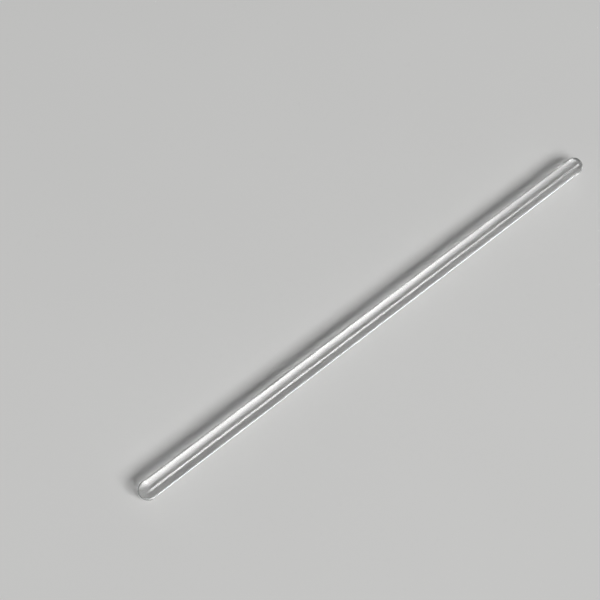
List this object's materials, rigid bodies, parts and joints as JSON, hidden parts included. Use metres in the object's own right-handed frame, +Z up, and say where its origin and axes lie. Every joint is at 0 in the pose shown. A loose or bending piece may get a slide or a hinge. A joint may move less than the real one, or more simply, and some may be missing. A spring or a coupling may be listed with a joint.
{
  "type": "glass stirring rod",
  "caption": "Solid clear glass rod with a straight round shaft and both ends melted round, for stirring and for guiding poured liquids.",
  "frame": {"origin": "on the rod's axis at mid-length", "axes": "+X along the rod, +Z up with the rod lying level"},
  "size_m": [0.2, 0.0062, 0.0062],
  "materials": {
    "clear_glass": "gloss, fire-polished"
  },
  "bodies": {
    "root": {"glass_rod": "clear_glass"}
  },
  "joints": []
}
